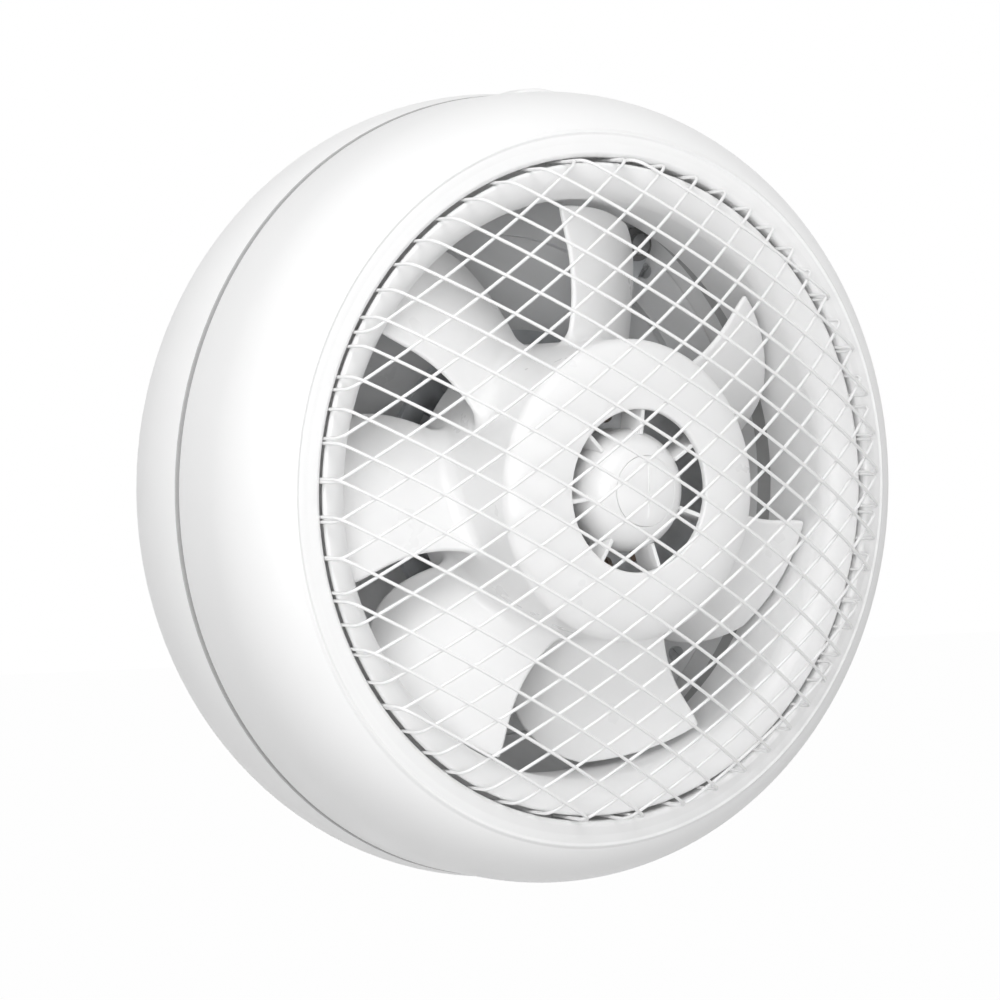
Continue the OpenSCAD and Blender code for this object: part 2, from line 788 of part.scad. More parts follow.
module shutter_frame() {
    bar = hinge_gap + seat_lap;
    color("dimgray") in_room() difference() {
        union() {
            ring(duct_r - near, flap_r - seat_lap, seat_h, seat_h + seat_t);
            intersection() {
                translate([-duct_r, -bar, seat_h]) cube([2 * duct_r, 2 * bar, seat_t]);
                rod(duct_r - near, 0, lip_h);
            }
            for (side = [0, 1]) mirror([side, 0, 0]) {
                translate([flap_r + block_gap, -block_w / 2, rod_h - barrel_r])
                    cube([block_w, block_w, seat_h - rod_h + barrel_r]);
                translate([post_x, -barrel_r, rod_h - barrel_r])
                    cube([post_w, 2 * barrel_r, seat_h - rod_h + barrel_r]);
            }
        }
        translate([-duct_r, 0, rod_h]) rotate([0, 90, 0]) cylinder(r = rod_r + held_fit, h = 2 * duct_r);
        around(lug_pcr, lug_turns) rod(screw_r + near, seat_h - cut, seat_h + seat_t + cut);
    }
}

// The upper flap is drawn above the rod and the lower one is the same turned half round
module flap() {
    spots = [barrel_len - barrel_inset, -flap_r + barrel_margin];
    color("dimgray") in_room() difference() {
        union() {
            intersection() {
                rod(flap_r, flap_h, flap_h + flap_t);
                translate([-flap_r, hinge_gap, 0]) cube([2 * flap_r, flap_r, seat_h]);
            }
            for (x = [-flap_rib_at, 0, flap_rib_at])
                translate([x - flap_rib_t / 2, hinge_gap + block_w, flap_h - flap_rib_h])
                    cube([flap_rib_t, flap_r * flap_rib_share, flap_rib_h + flap_t / 2]);
            for (x = spots) {
                translate([x, 0, rod_h]) rotate([0, 90, 0]) cylinder(r = barrel_r, h = barrel_len);
                translate([x, 0, rod_h]) cube([barrel_len, hinge_gap + weld, flap_h + flap_t - rod_h]);
            }
        }
        translate([-duct_r, 0, rod_h]) rotate([0, 90, 0]) cylinder(r = rod_r + run_fit, h = 2 * duct_r);
    }
}

module shutter_flap_upper() {
    flap();
}

module shutter_flap_lower() {
    rotate([0, 180, 0]) flap();
}

module shutter_rod() {
    rod_end = flap_r + block_w;
    color("silver") in_room() translate([-rod_end, 0, rod_h]) rotate([0, 90, 0])
        cylinder(r = rod_r, h = 2 * rod_end);
}

// Points round one place of a spring's wire, and the closed tube through all places
spring_sides = 6;
coil_places = 12;
spring_places = spring_turns * coil_places;
function spring_at(i, gap) = [
    for (k = [0 : spring_sides - 1])
        let (turn = i * 360 / coil_places, side = k * 360 / spring_sides)
        let (r = spring_r + spring_wire / 2 * cos(side))
        [i * gap + spring_wire / 2 * sin(side), r * cos(turn), r * sin(turn)]
];
module spring(len) {
    gap = (len - spring_wire) / spring_places;
    last = spring_places * spring_sides;
    polyhedron(
        [for (i = [0 : spring_places]) each spring_at(i, gap)],
        concat(
            [[for (k = [0 : spring_sides - 1]) k]],
            [[for (k = [spring_sides - 1 : -1 : 0]) last + k]],
            [for (i = [0 : spring_places - 1], k = [0 : spring_sides - 1])
                let (n = (k + 1) % spring_sides, a = i * spring_sides)
                [a + k, a + k + spring_sides, a + n + spring_sides, a + n]]
        )
    );
}

module shutter_springs() {
    from = 2 * barrel_len - barrel_inset + near;
    color("silver") in_room() for (side = [0, 180]) rotate([0, 0, side])
        translate([from + spring_wire / 2, 0, rod_h]) spring(post_x - from - near);
}

module shutter_screws() {
    color("silver") in_room() around(lug_pcr, lug_turns) screw(screw_r, seat_h + seat_t, seat_t + lug_bite);
}

module venturi_screws() {
    color("silver") in_room() around(post_pcr, post_turns)
        screw(screw_r, venturi_h + wall_t, wall_t + post_bite);
}

module cover_screw() {
    color("silver") in_room() cover_screw_place() screw(screw_r, -head_sink, cover_screw_len);
}

module wall_gasket() {
    inside = casing_curve - wall_t;
    outer = body_r - casing_curve + sqrt(pow(inside, 2) - pow(widest_h - gasket_t, 2)) - gasket_inset;
    color("dimgray") in_room() difference() {
        ring(outer, shell_r + gasket_gap, 0, gasket_t);
        around(wall_hole_pcr, wall_turns) rod(wall_boss_r + near, -cut, gasket_t + cut);
        around(wall_hole_pcr, [cable_turn])
            rod(cable_hole_r + 2 * grommet_wall + near, -cut, gasket_t + cut);
    }
}

module terminal_place() {
    rotate([0, 0, terminal_turn]) translate([wall_hole_pcr, 0, floor_h]) children();
}

module terminal_block() {
    color("white") in_room() terminal_place() difference() {
        translate([-terminal_w / 2, -terminal_len / 2, 0]) cube([terminal_w, terminal_len, terminal_h]);
        for (side = [-1 : 1]) translate([0, side * terminal_len * 0.32, 0]) {
            translate([0, 0, terminal_h * 0.36]) cylinder(r = terminal_w / 6, h = terminal_h);
            translate([-terminal_w, -terminal_w / 8, terminal_h / 5])
                cube([2 * terminal_w, terminal_w / 4, terminal_w / 4]);
        }
    }
}

module terminal_cover() {
    inner_w = terminal_w + 2 * box_gap;
    inner_len = terminal_len + 2 * box_gap;
    inner_h = terminal_h + box_room;
    color("white") in_room() terminal_place() difference() {
        translate([-inner_w / 2 - box_wall, -inner_len / 2 - box_wall, 0])
            cube([inner_w + 2 * box_wall, inner_len + 2 * box_wall, inner_h + box_wall]);
        translate([-inner_w / 2, -inner_len / 2, -cut]) cube([inner_w, inner_len, inner_h + cut]);
        translate([-inner_w / 3, -inner_len, -cut]) cube([inner_w * 2 / 3, inner_len, inner_h / 2]);
    }
}

module run_capacitor() {
    top = floor_h + capacitor_len;
    color("silver") in_room() rotate([0, 0, capacitor_turn]) translate([wall_hole_pcr, 0, 0]) {
        rod(capacitor_r, floor_h, top);
        rod(capacitor_r - lip_t, top - weld, top + collar_h);
        for (y = [-tab_at, tab_at]) translate([-tab_t / 2, y - tab_w / 2, top + collar_h - weld])
            cube([tab_t, tab_w, tab_h]);
    }
}

module cable_grommet() {
    hole = cable_hole_r + grommet_wall;
    rim = hole + grommet_wall;
    color("black") in_room() around(wall_hole_pcr, [cable_turn]) rotate_extrude() polygon([
        [cable_hole_r, gasket_t - grommet_lip], [rim, gasket_t - grommet_lip],
        [rim, gasket_t - held_fit], [hole - held_fit, gasket_t - held_fit],
        [hole - held_fit, floor_h + held_fit], [rim, floor_h + held_fit],
        [rim - edge_cut, floor_h + grommet_lip], [cable_hole_r, floor_h + grommet_top]
    ]);
}

front_cover();
rear_casing();
venturi_ring();
guard_wires_front();
guard_wires_back();
guard_rim_wire();
impeller();
impeller_cap();
impeller_nut();
impeller_washer();
motor_shaft();
rotor();
stator_core();
stator_winding();
front_bearing();
rear_bearing();
motor_front_shield();
motor_rear_shield();
motor_bolts();
motor_bracket();
rubber_bushes();
bracket_screws();
shutter_frame();
shutter_flap_upper();
shutter_flap_lower();
shutter_rod();
shutter_springs();
shutter_screws();
venturi_screws();
cover_screw();
wall_gasket();
terminal_block();
terminal_cover();
run_capacitor();
cable_grommet();
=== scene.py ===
# %% [markdown]
# Round wall exhaust fan
# The object is a white plastic fan that hangs on a wall. A fat bezel carries a domed wire
# guard, a seven blade impeller turns on a motor inside its hub, and two grey flaps close
# the duct behind it. The construction is loaded as a fixed frame, in metres. This lesson
# gives each visible piece its smooth form, and each surface its finish.

# %% Load the frame
import json
from math import asin, atan2, cos, degrees, pi, radians, sin, sqrt

import bmesh
import bpy
from mathutils import Matrix, Vector


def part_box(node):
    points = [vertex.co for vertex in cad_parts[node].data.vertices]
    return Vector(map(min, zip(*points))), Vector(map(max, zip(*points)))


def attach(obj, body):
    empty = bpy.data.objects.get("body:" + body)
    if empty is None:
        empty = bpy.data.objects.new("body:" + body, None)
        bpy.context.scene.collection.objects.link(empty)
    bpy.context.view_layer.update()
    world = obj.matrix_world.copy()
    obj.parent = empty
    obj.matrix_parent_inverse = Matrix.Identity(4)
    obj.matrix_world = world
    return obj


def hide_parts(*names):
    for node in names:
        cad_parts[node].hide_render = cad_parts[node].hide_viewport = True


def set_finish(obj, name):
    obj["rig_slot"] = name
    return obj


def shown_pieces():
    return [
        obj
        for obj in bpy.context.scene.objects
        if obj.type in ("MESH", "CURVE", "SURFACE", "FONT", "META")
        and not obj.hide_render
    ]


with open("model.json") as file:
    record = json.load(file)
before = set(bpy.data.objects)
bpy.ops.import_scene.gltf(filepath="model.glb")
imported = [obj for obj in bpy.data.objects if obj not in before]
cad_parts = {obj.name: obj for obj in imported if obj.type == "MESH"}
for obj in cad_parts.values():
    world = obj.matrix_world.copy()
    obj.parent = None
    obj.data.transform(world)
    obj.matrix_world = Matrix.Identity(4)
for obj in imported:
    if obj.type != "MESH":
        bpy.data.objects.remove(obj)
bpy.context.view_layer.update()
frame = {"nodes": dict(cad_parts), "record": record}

# %% [markdown]
# The camera
# A product picture is taken from far away with a long lens, which keeps the bezel's circles
# close to true ellipses. The camera stands to the left of the fan, a little above its axis.

# %% Place the camera
CAMERA_PLACE = (-0.8403, -1.2949, 0.0372)
CAMERA_TILT = 88.395
CAMERA_TURN = -33.63
LENS_MM = 146.6
SENSOR_MM = 36

lens = bpy.data.cameras.new("product_lens")
lens.lens = LENS_MM
lens.sensor_width = SENSOR_MM
camera = bpy.data.objects.new("product_camera", lens)
camera.location = CAMERA_PLACE
camera.rotation_euler = (radians(CAMERA_TILT), 0, radians(CAMERA_TURN))
bpy.context.scene.collection.objects.link(camera)
bpy.context.scene.camera = camera
print("the camera is", round(Vector(CAMERA_PLACE).length, 3), "m from the wall plane's middle")

# %% [markdown]
# Drawing on a lathe
# Nearly all of this fan is round, so its pieces are drawn as half sections and spun about
# the axis, like turned work. A point of a section is a radius and a height, in millimetres,
# and the height counts from the wall into the room. The spin operator does the turning.

# %% Helpers for turned pieces
MM = 0.001
AXIS = (0, 1, 0)
TURN_STEPS = 256


def room(x, y, h):
    """A point of the lathe, in millimetres, as a place in the room, in metres."""
    return Vector((x, -h, y)) * MM


def bow(value, power):
    """A sine or a cosine, pushed outwards for a power above 2."""
    return (1 if value >= 0 else -1) * abs(value) ** (2 / power)


def arc(cr, ch, r, h, start, end, steps=12, power=2):
    """Points on a stretch of an ellipse, or of a squarer curve for a power above 2."""
    turns = [radians(start + (end - start) * i / steps) for i in range(steps + 1)]
    return [(cr + r * bow(cos(a), power), ch + h * bow(sin(a), power)) for a in turns]


def turned(bm, section, steps=TURN_STEPS):
    """Spins a closed section round the fan's axis."""
    corners = [bm.verts.new(room(r, 0, h)) for r, h in section]
    edges = [bm.edges.new(pair) for pair in zip(corners, corners[1:] + corners[:1])]
    bmesh.ops.spin(bm, geom=corners + edges, cent=(0, 0, 0), axis=AXIS, angle=2 * pi,
                   steps=steps, use_merge=True)


print("a turned piece has", TURN_STEPS, "steps round the axis")

# %% From a bmesh to a finished piece
SHARP_FROM = 35


def piece_from(bm, name, body, nodes, slot):
    """Makes a finished piece: closed, normals outwards, smooth but for its corners."""
    bmesh.ops.remove_doubles(bm, verts=bm.verts, dist=0.001 * MM)
    bmesh.ops.recalc_face_normals(bm, faces=bm.faces)
    open_edges = sum(1 for e in bm.edges if not e.is_manifold)
    mesh = bpy.data.meshes.new(name)
    bm.to_mesh(mesh)
    bm.free()
    mesh.shade_smooth()
    mesh.set_sharp_from_angle(angle=radians(SHARP_FROM))
    piece = bpy.data.objects.new(name, mesh)
    bpy.context.scene.collection.objects.link(piece)
    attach(piece, body)
    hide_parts(*nodes)
    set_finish(piece, slot)
    print(name, "has", len(mesh.polygons), "faces and", open_edges, "open edges")


# %% [markdown]
# Driving sizes
# These are the sizes that more than one piece shares. The radii come from the frame where a
# piece reaches its own box, and the others are the fan's own, in millimetres.

# %% Shared sizes
def node_reach(name):
    """Radius of a round node, from its box."""
    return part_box(name)[1].x / MM


def node_heights(name):
    """Lowest and highest point of a node above the wall."""
    low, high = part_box(name)
    return -high.y / MM, -low.y / MM


COVER_R = node_reach("front_cover")
COVER_FOOT_H, LIP_H = node_heights("front_cover")
TIP_R = 102.3
THROAT_R = 104.6
BELL_W = 12.7
BELL_H = 10.6
BELL_R = THROAT_R + BELL_W
WIRE_R = 0.6
NEAR = 0.3
LIP_R = BELL_R + 2 * WIRE_R + 2 * NEAR
WALL = 2.4
BELL_BELOW_LIP = 1
THROAT_H = LIP_H - BELL_BELOW_LIP - BELL_H
print("cover radius", round(COVER_R, 1), "lip height", round(LIP_H, 1), "lip radius", LIP_R)

# %% [markdown]
# The bezel
# The front cover is one fat injection moulding. Its round shoulder is a quarter of an
# ellipse, with a fine raised ring beside the opening and a small lip that turns in. A spun
# section gives true circles. The ring is a smooth swelling of the section, so that light
# runs over it without a break, as it does on a real moulding.

# %% Front cover
BEZEL_FROM_LIP = 4.9
BEZEL_BELOW_LIP = 33
BEZEL_R = LIP_R + BEZEL_FROM_LIP
BEZEL_H = LIP_H - BEZEL_BELOW_LIP
BEZEL_RISE = 32
BEAD_FROM_BEZEL = 4.2
BEAD_RISE = 0.6
BEAD_HALF = 1.2
LIP_ROUND = 2
EDGE_ROUND = 0.5
LIP_FOOT_H = 89.3
# From and to in degrees, and the steps between: the ring's stretch has the finest ones.
SHOULDER_STRETCHES = ((0, 72, 30), (72.3, 84, 34), (85, 90, 4))


def shoulder(start, end, steps):
    """The bezel's outer curve, swollen where the fine ring runs round it."""
    points = []
    for r, h in arc(BEZEL_R, BEZEL_H, COVER_R - BEZEL_R, BEZEL_RISE, start, end, steps):
        away = (r - BEZEL_R - BEAD_FROM_BEZEL) / BEAD_HALF
        swell = BEAD_RISE * cos(away * pi / 2) ** 2 if abs(away) < 1 else 0
        points.append((r, h + swell))
    return points


cover = bmesh.new()
inner_r = COVER_R - BEZEL_R - WALL
turned(cover, (
    arc(COVER_R - EDGE_ROUND, COVER_FOOT_H + EDGE_ROUND, EDGE_ROUND, EDGE_ROUND, -90, 0, 4)
    + [point for stretch in SHOULDER_STRETCHES for point in shoulder(*stretch)]
    + arc(LIP_R + LIP_ROUND, LIP_H - LIP_ROUND, LIP_ROUND, LIP_ROUND, 90, 180, 8)
    + [(LIP_R, LIP_FOOT_H), (LIP_R + WALL, LIP_FOOT_H), (LIP_R + WALL, LIP_H - 2 * WALL)]
    + arc(BEZEL_R, BEZEL_H, inner_r, BEZEL_RISE - WALL, 90, 0, 20)
    + [(COVER_R - WALL, COVER_FOOT_H)]
))
print("the cover's shell has", len(cover.faces), "faces")

# %% [markdown]
# The pad on top
# A small raised pad sits on top of the cover, near the seam. It is the crown of a lying
# cylinder: a cylinder is made, a plane cuts its crown off, and its rims are rounded.

# %% Pad on the cover
PAD_R = 30
PAD_RISE = 2
PAD_LEN = 11
PAD_FROM_FOOT = 1.5
PAD_ROUND = 0.9
PAD_FOOT_R = COVER_R - WALL + 0.3
RIM_ANGLE = 60

pad = bmesh.new()
pad_mid = room(0, COVER_R + PAD_RISE - PAD_R, COVER_FOOT_H + PAD_FROM_FOOT + PAD_LEN / 2)
lying = Matrix.Translation(pad_mid) @ Matrix.Rotation(pi / 2, 4, "X")
bmesh.ops.create_cone(pad, cap_ends=True, segments=TURN_STEPS, radius1=PAD_R * MM,
                      radius2=PAD_R * MM, depth=PAD_LEN * MM, matrix=lying)
bmesh.ops.bisect_plane(pad, geom=pad.verts[:] + pad.edges[:] + pad.faces[:], clear_outer=True,
                       plane_co=room(0, PAD_FOOT_R, 0), plane_no=(0, 0, -1))
bmesh.ops.holes_fill(pad, edges=[e for e in pad.edges if e.is_boundary])
rims = [e for e in pad.edges if e.calc_face_angle(0) > radians(RIM_ANGLE)
        and min(v.co.z for v in e.verts) > (PAD_FOOT_R + 0.1) * MM]
bmesh.ops.bevel(pad, geom=rims, offset=PAD_ROUND * MM, offset_type="OFFSET", segments=4,
                profile=0.5, affect="EDGES", material=-1)
pad_mesh = bpy.data.meshes.new("pad")
pad.to_mesh(pad_mesh)
pad.free()
cover.from_mesh(pad_mesh)
bpy.data.meshes.remove(pad_mesh)
piece_from(cover, "bezel", "root", ["front_cover"], "white_plastic")

# %% [markdown]
# The bell-mouth
# Behind the guard the air runs in over a rounded bell-mouth and through a short throat that
# fits closely round the blade tips. Both are one thin turned shell with a ledge on which
# the guard stands.

# %% Bell-mouth and throat
THROAT_LEN = 28.4
LEDGE_DROP = 1.9
VENTURI_H = THROAT_H - THROAT_LEN
LEDGE_H = THROAT_H - LEDGE_DROP
CROWN_ROUND = 1.2
FOOT_ROUND = 0.6
FLANGE_R = 125.9
INSIDE_END = 178

crown_r = BELL_R - CROWN_ROUND
outside_end = 90 + degrees(asin(CROWN_ROUND / BELL_W))
inside_start = 90 + degrees(asin(CROWN_ROUND / (BELL_W - WALL)))
crown_h = THROAT_H + BELL_H * cos(asin(CROWN_ROUND / BELL_W)) - CROWN_ROUND
bell = bmesh.new()
turned(bell, (
    arc(THROAT_R + FOOT_ROUND, VENTURI_H + FOOT_ROUND, FOOT_ROUND, FOOT_ROUND, 270, 180, 3)
    + arc(BELL_R, THROAT_H, BELL_W, BELL_H, 180, outside_end, 32)
    + arc(crown_r, crown_h, CROWN_ROUND, CROWN_ROUND, 90, -90, 10)
    + arc(BELL_R, THROAT_H, BELL_W - WALL, BELL_H - WALL, inside_start, INSIDE_END, 16)
    + [(LIP_R + WALL, LEDGE_H), (LIP_R + WALL, LEDGE_H - WALL)]
    + [(THROAT_R + WALL, LEDGE_H - WALL), (THROAT_R + WALL, VENTURI_H + WALL)]
    + [(FLANGE_R, VENTURI_H + WALL), (FLANGE_R, VENTURI_H)]
))
piece_from(bell, "bell_mouth", "root", ["venturi_ring"], "white_plastic")

# %% [markdown]
# The wire guard
# The guard is two families of bent wires, welded where they cross. Each wire runs over a
# dome, bends down at the rim and ends at a hidden ring. The wires could be curves with a
# bevel, but a ring of vertices that is extruded for the straight legs and spun round the
# bends' own centres gives exact arcs, and a clean closed tube.

# %% Guard sizes
WIRE_SIDES = 12
WIRE_PITCH = 11.36
WIRE_ANGLE = 32
GUARD_TURN = 3.24
FRONT_SHIFT = 0.4
BACK_SHIFT = 0.3
DOME_R = 231.3
BEND_R = 6
LEG_R = BELL_R + NEAR + WIRE_R
RIM_WIRE_R = 1.25
WELD_GAP = 0.02
RIM_RING_R = LEG_R + WIRE_R + RIM_WIRE_R + WELD_GAP
RIM_RING_H = LEDGE_H + RIM_WIRE_R + WELD_GAP
GUARD_TOP_H = node_heights("guard_wires_front")[1] - WIRE_R
DOME_MID_H = GUARD_TOP_H - DOME_R
print("the dome's middle wire tops out", round(GUARD_TOP_H, 2), "mm above the wall")


# %% Carrying a tube on
def spun_on(bm, ring, turn, centre, angle, steps):
    """Carries a tube's last ring on round a centre, and returns its new last ring."""
    out = bmesh.ops.spin(bm, geom=ring, cent=turn @ centre, axis=turn @ Vector((0, 0, 1)),
                         angle=-radians(angle), steps=steps)
    return out["geom_last"]


def pushed_on(bm, ring, step):
    """Extrudes a tube's last ring straight on, and returns its new last ring."""
    edges = [e for e in ring if isinstance(e, bmesh.types.BMEdge)]
    out = bmesh.ops.extrude_edge_only(bm, edges=edges)["geom"]
    last = [v for v in out if isinstance(v, bmesh.types.BMVert)]
    bmesh.ops.translate(bm, verts=last, vec=step)
    return last + [e for e in out if isinstance(e, bmesh.types.BMEdge)
                   and all(v in last for v in e.verts)]


# %% One wire
BEND_STEPS = 6
DOME_STEPS = 40


def guard_wire(bm, off, dome_r, turn):
    """One wire at a distance off the axis: leg, bend, dome, bend and leg."""
    section = sqrt(dome_r ** 2 - off ** 2)
    half = sqrt(LEG_R ** 2 - off ** 2)
    bend_x = half - BEND_R
    lift = sqrt((section - BEND_R) ** 2 - bend_x ** 2)
    tilt = degrees(atan2(bend_x, lift))
    leg = room(0, 0, DOME_MID_H + lift - RIM_RING_H)
    foot = turn @ Matrix.Translation(room(half, off, RIM_RING_H)) @ Matrix.Rotation(pi / 2, 4, "X")
    start = bmesh.ops.create_circle(bm, cap_ends=True, segments=WIRE_SIDES,
                                    radius=WIRE_R * MM, matrix=foot)
    ring = start["verts"] + list(dict.fromkeys(e for v in start["verts"] for e in v.link_edges))
    ring = pushed_on(bm, ring, turn @ leg)
    ring = spun_on(bm, ring, turn, room(bend_x, off, DOME_MID_H + lift), 90 - tilt, BEND_STEPS)
    ring = spun_on(bm, ring, turn, room(0, off, DOME_MID_H), 2 * tilt, DOME_STEPS)
    ring = spun_on(bm, ring, turn, room(-bend_x, off, DOME_MID_H + lift), 90 - tilt, BEND_STEPS)
    ring = pushed_on(bm, ring, turn @ -leg)
    bmesh.ops.edgeloop_fill(bm, edges=[e for e in ring if isinstance(e, bmesh.types.BMEdge)])


# %% Both families and the rim's ring
OUTER_WIRE_IN = 5
RIM_STEPS = 24


def guard_family(name, node, angle, shift, dome_r):
    """All the wires of one family, which lie side by side at one pitch."""
    bm = bmesh.new()
    turn = Matrix.Rotation(-radians(angle), 4, "Y")
    count = int(LEG_R / WIRE_PITCH) + 1
    offs = [(i + shift) * WIRE_PITCH for i in range(-count, count + 1)]
    for off in offs:
        if abs(off) < LEG_R - OUTER_WIRE_IN:
            guard_wire(bm, off, dome_r, turn)
    piece_from(bm, name, "root", [node], "guard_coating")


guard_family("guard_front_family", "guard_wires_front", GUARD_TURN - WIRE_ANGLE, FRONT_SHIFT,
             DOME_R)
guard_family("guard_back_family", "guard_wires_back", GUARD_TURN + WIRE_ANGLE, BACK_SHIFT,
             DOME_R - 2 * WIRE_R - WELD_GAP)
rim = bmesh.new()
turned(rim, arc(RIM_RING_R, RIM_RING_H, RIM_WIRE_R, RIM_WIRE_R, 0, 360 - 360 / RIM_STEPS,
                RIM_STEPS - 1))
piece_from(rim, "guard_rim_ring", "root", ["guard_rim_wire"], "guard_coating")

# %% [markdown]
# The impeller's hub
# The hub is a deep bell that hides the motor. Its front has a round hole, and in it sits a
# domed nose on seven slim spokes, so that air can cool the motor. Hub and nose are spun
# sections, and the spokes are thin bars.

# %% Hub
HUB_FRONT_H = 121.5
HUB_BACK_H = 54
HUB_R = 54
HUB_TAPER = 1.4
HUB_WALL = 2.2
HUB_HOLE_R = 29
HUB_STEP_R = HUB_HOLE_R + 5
SHOULDER_LEN = 8
HOLE_ROUND = 0.9
HUB_EDGE_ROUND = 1.1
HUB_INSIDE_UP = 0.6
cup_h = HUB_FRONT_H - SHOULDER_LEN

impeller = bmesh.new()
turned(impeller, (
    arc(HUB_R - HUB_TAPER - HUB_EDGE_ROUND, HUB_BACK_H + HUB_EDGE_ROUND, HUB_EDGE_ROUND,
        HUB_EDGE_ROUND, -90, 0, 5)
    + arc(HUB_STEP_R, cup_h, HUB_R - HUB_STEP_R, SHOULDER_LEN, 0, 90, 32)
    + arc(HUB_HOLE_R + HOLE_ROUND, HUB_FRONT_H - HOLE_ROUND, HOLE_ROUND, HOLE_ROUND, 90, 180, 6)
    + [(HUB_HOLE_R, HUB_FRONT_H - HUB_WALL), (HUB_STEP_R, HUB_FRONT_H - HUB_WALL)]
    + arc(HUB_STEP_R, cup_h, HUB_R - HUB_WALL - HUB_STEP_R, SHOULDER_LEN - HUB_WALL, 90, 0, 16)
    + [(HUB_R - HUB_WALL - HUB_TAPER, HUB_BACK_H + HUB_INSIDE_UP)]
))
print("the hub is", HUB_FRONT_H - HUB_BACK_H, "mm deep and", 2 * HUB_R, "mm across")

# %% Nose
NOSE_R = 22
NOSE_TOP_H = 126.5
NOSE_DOME = 18
NOSE_POWER = 2.6
NOSE_BACK_H = 104
NOSE_CURVE_STEPS = 60
NOSE_TURN_STEPS = 128
POCKET_H = 117.5
POCKET_WALL = 3
CAP_R = 12.5
CAP_PLAY = 0.1
GROOVE_W = 0.35
GROOVE_SINK = 0.3
GROOVE_ROUND = 0.25
BOSS_R = 8
SHAFT_R = 4
SHAFT_PLAY = 0.02


def nose_curve(cr):
    """The nose's outer curve from its side up to a radius near the middle."""
    full = arc(0, NOSE_TOP_H - NOSE_DOME, NOSE_R, NOSE_DOME, 0, 90, NOSE_CURVE_STEPS, NOSE_POWER)
    return [(r, h) for r, h in full if r > cr]


groove_h = nose_curve(CAP_R)[-1][1]
hole_r = SHAFT_R + SHAFT_PLAY
turned(impeller, (
    [(NOSE_R - HUB_WALL, NOSE_BACK_H), (NOSE_R, NOSE_BACK_H)] + nose_curve(CAP_R + GROOVE_W)
    + arc(CAP_R + GROOVE_W, groove_h - GROOVE_SINK, GROOVE_ROUND, GROOVE_ROUND, 60, 180, 4)
    + [(CAP_R + CAP_PLAY, POCKET_H), (hole_r, POCKET_H), (hole_r, NOSE_BACK_H)]
    + [(BOSS_R, NOSE_BACK_H), (BOSS_R, POCKET_H - POCKET_WALL)]
    + [(NOSE_R - HUB_WALL, POCKET_H - POCKET_WALL)]
), steps=NOSE_TURN_STEPS)
print("the nose stands", NOSE_TOP_H - HUB_FRONT_H, "mm out of the hub")

# %% Spokes
SPOKES = 7
SPOKE_TURN = 33
SPOKE_T = 1.6
SPOKE_BACK_H = 107
SPOKE_ROUND = 0.35
SPOKE_IN_NOSE = 0.3
SPOKE_IN_HUB = 4

spoke_from = NOSE_R - HUB_WALL + SPOKE_IN_NOSE
spoke_to = HUB_STEP_R + SPOKE_IN_HUB
spoke_top_h = HUB_FRONT_H - HUB_WALL
for i in range(SPOKES):
    turn = Matrix.Rotation(-radians(SPOKE_TURN + i * 360 / SPOKES), 4, "Y")
    middle = room((spoke_from + spoke_to) / 2, 0, (SPOKE_BACK_H + spoke_top_h) / 2)
    sides = (spoke_to - spoke_from, spoke_top_h - SPOKE_BACK_H, SPOKE_T, 1 / MM)
    place = turn @ Matrix.Translation(middle) @ (Matrix.Diagonal(sides) * MM)
    bar = bmesh.ops.create_cube(impeller, size=1, matrix=place)
    edges = list(dict.fromkeys(e for v in bar["verts"] for e in v.link_edges))
    bmesh.ops.bevel(impeller, geom=edges, offset=SPOKE_ROUND * MM, offset_type="OFFSET",
                    segments=2, profile=0.5, affect="EDGES", material=-1)
print(SPOKES, "spokes, each", round(spoke_to - spoke_from, 1), "mm long")

# %% [markdown]
# The blades
# A blade is a cambered sheet that is set at an angle, leans towards the wall and flows into
# the hub with a fillet. Its section is a long loop with round ends. The loop is extruded row
# by row from the hub to the tip, and each row is then laid round the sheet at its own
# distance from the axis. In the fillet the loop swells in a quarter circle, so the blade
# leaves the hub without a line, and at the tip it shrinks a little to a soft edge.

# %% Blade sizes
BLADES = 7
FIRST_BLADE = 181
BLADE_T = 2.2
BLADE_PITCH = radians(30)
BLADE_RAKE = radians(10)
CAMBER_R = 95
CAMBER_HALF = 28
CAMBER_SINK = sqrt(CAMBER_R ** 2 - CAMBER_HALF ** 2)
BLADE_DROP = 35.2
BLADE_MID_H = HUB_FRONT_H - BLADE_DROP
set_of_blade = Matrix.Rotation(BLADE_RAKE, 3, "Y") @ Matrix.Rotation(BLADE_PITCH, 3, "X")
print("a blade is", round(TIP_R - HUB_R, 1), "mm long and", BLADE_T, "mm thick")

# %% The blade's outline
# Each edge is a parabola: its place at EDGE_ZERO from the axis, its slope and its bend.
EDGE_ZERO = 75
LEADING_EDGE = (21.6, 0.247, 0.00925)
TRAILING_EDGE = (-28.5, 0.088, 0.015)
FADE_FROM = TIP_R - 22
FADE_END = TIP_R + 2
EDGE_ROUNDS = 40


def parabola(edge, x):
    """Place of an edge at a distance from its zero."""
    start, slope, bend = edge
    return start + slope * x + bend * x ** 2


def blade_edge(along, side):
    """How far the leading (side 1) or trailing (side -1) edge lies across the blade."""
    lead = parabola(LEADING_EDGE, along - EDGE_ZERO)
    trail = parabola(TRAILING_EDGE, along - EDGE_ZERO)
    share = max(0, (along - FADE_FROM) / (FADE_END - FADE_FROM))
    fade = (1 - min(1, share) ** 4) ** 0.25
    return (lead + trail) / 2 + side * (lead - trail) / 2 * fade


def edge_angle(radius, side):
    """Angle at which an edge of the blade crosses a circle round the axis."""
    angle = 0
    for _ in range(EDGE_ROUNDS):
        angle = asin(blade_edge(radius * cos(angle), side) / radius)
    return angle


print("the blade is", round(blade_edge(HUB_R, 1) - blade_edge(HUB_R, -1), 1), "mm wide at the hub")

